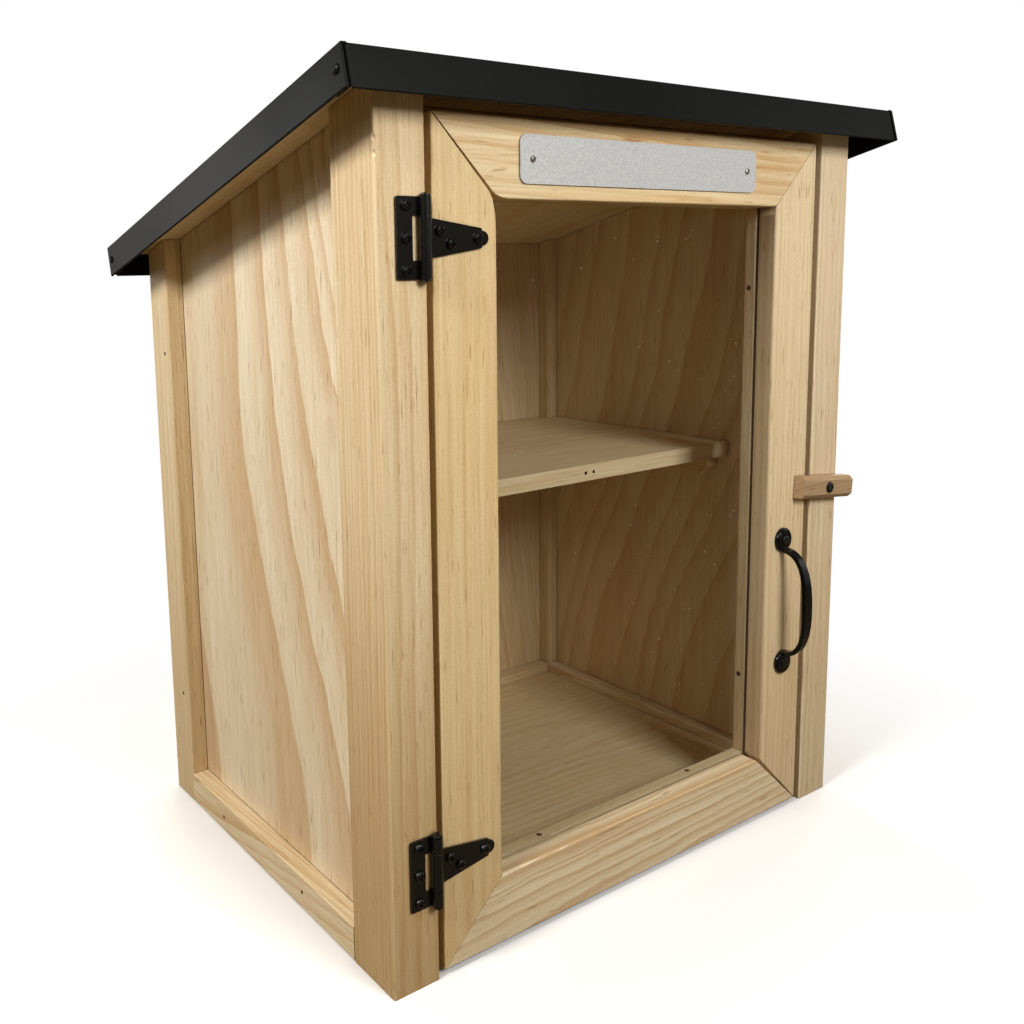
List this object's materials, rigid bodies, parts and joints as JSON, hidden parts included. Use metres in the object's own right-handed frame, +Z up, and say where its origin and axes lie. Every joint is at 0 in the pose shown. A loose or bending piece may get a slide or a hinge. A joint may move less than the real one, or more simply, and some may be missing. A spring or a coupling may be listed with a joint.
{
  "type": "street book exchange box",
  "caption": "Weatherproof wooden book exchange box with a glazed hinged door, an inner shelf, a sloping metal roof, a pull handle and a turn button latch.",
  "frame": {"origin": "middle of the cabinet's footprint, on its underside", "axes": "+Z up, the door faces -Y, +X to the right as seen from the front"},
  "size_m": [0.5598, 0.4109, 0.6155],
  "materials": {
    "pine": "planed pale pine, matte",
    "plywood": "pine plywood, matte",
    "button_pine": "weathered pine, matte",
    "roof_metal": "matte black powder coat",
    "black_metal": "satin black paint",
    "plate_silver": "fine satin silver",
    "clear_acrylic": "clear, glossy"
  },
  "bodies": {
    "cabinet": {"front_left_post": "pine", "front_right_post": "pine", "rear_left_post": "pine", "rear_right_post": "pine", "left_rail": "pine", "right_rail": "pine", "rear_rail": "pine", "front_sill": "pine", "head_rail": "pine", "left_panel": "pine", "right_panel": "pine", "back_panel": "plywood", "floor_board": "plywood", "shelf": "pine", "left_cleat": "pine", "right_cleat": "pine", "roof_deck": "plywood", "roof_tray": "roof_metal", "front_left_rivet": "roof_metal", "front_right_rivet": "roof_metal", "rear_left_rivet": "roof_metal", "rear_right_rivet": "roof_metal", "upper_hinge_leaf": "black_metal", "lower_hinge_leaf": "black_metal", "upper_hinge_pin": "black_metal", "lower_hinge_pin": "black_metal", "upper_leaf_screw_1": "black_metal", "upper_leaf_screw_2": "black_metal", "upper_leaf_screw_3": "black_metal", "lower_leaf_screw_1": "black_metal", "lower_leaf_screw_2": "black_metal", "lower_leaf_screw_3": "black_metal", "latch_screw": "black_metal"},
    "door": {"left_stile": "pine", "right_stile": "pine", "top_rail": "pine", "bottom_rail": "pine", "window_pane": "clear_acrylic", "left_stop": "pine", "right_stop": "pine", "top_stop": "pine", "bottom_stop": "pine", "upper_hinge_strap": "black_metal", "lower_hinge_strap": "black_metal", "upper_strap_screw_1": "black_metal", "upper_strap_screw_2": "black_metal", "upper_strap_screw_3": "black_metal", "lower_strap_screw_1": "black_metal", "lower_strap_screw_2": "black_metal", "lower_strap_screw_3": "black_metal", "pull_handle": "black_metal", "handle_screw_1": "black_metal", "handle_screw_2": "black_metal", "nameplate": "plate_silver", "plate_screw_1": "black_metal", "plate_screw_2": "black_metal"},
    "latch": {"turn_button": "button_pine"}
  },
  "joints": [
    {"name": "door_hinge", "type": "hinge", "parent": "cabinet", "child": "door", "pos_m": [-0.2105, -0.18995, 0.2954], "axis": [0, 0, -1], "range_deg": [0, 165]},
    {"name": "latch_turn", "type": "hinge", "parent": "cabinet", "child": "latch", "pos_m": [0.2175, -0.18605, 0.2931], "axis": [0, -1, 0], "range_deg": [-90, 90]}
  ]
}
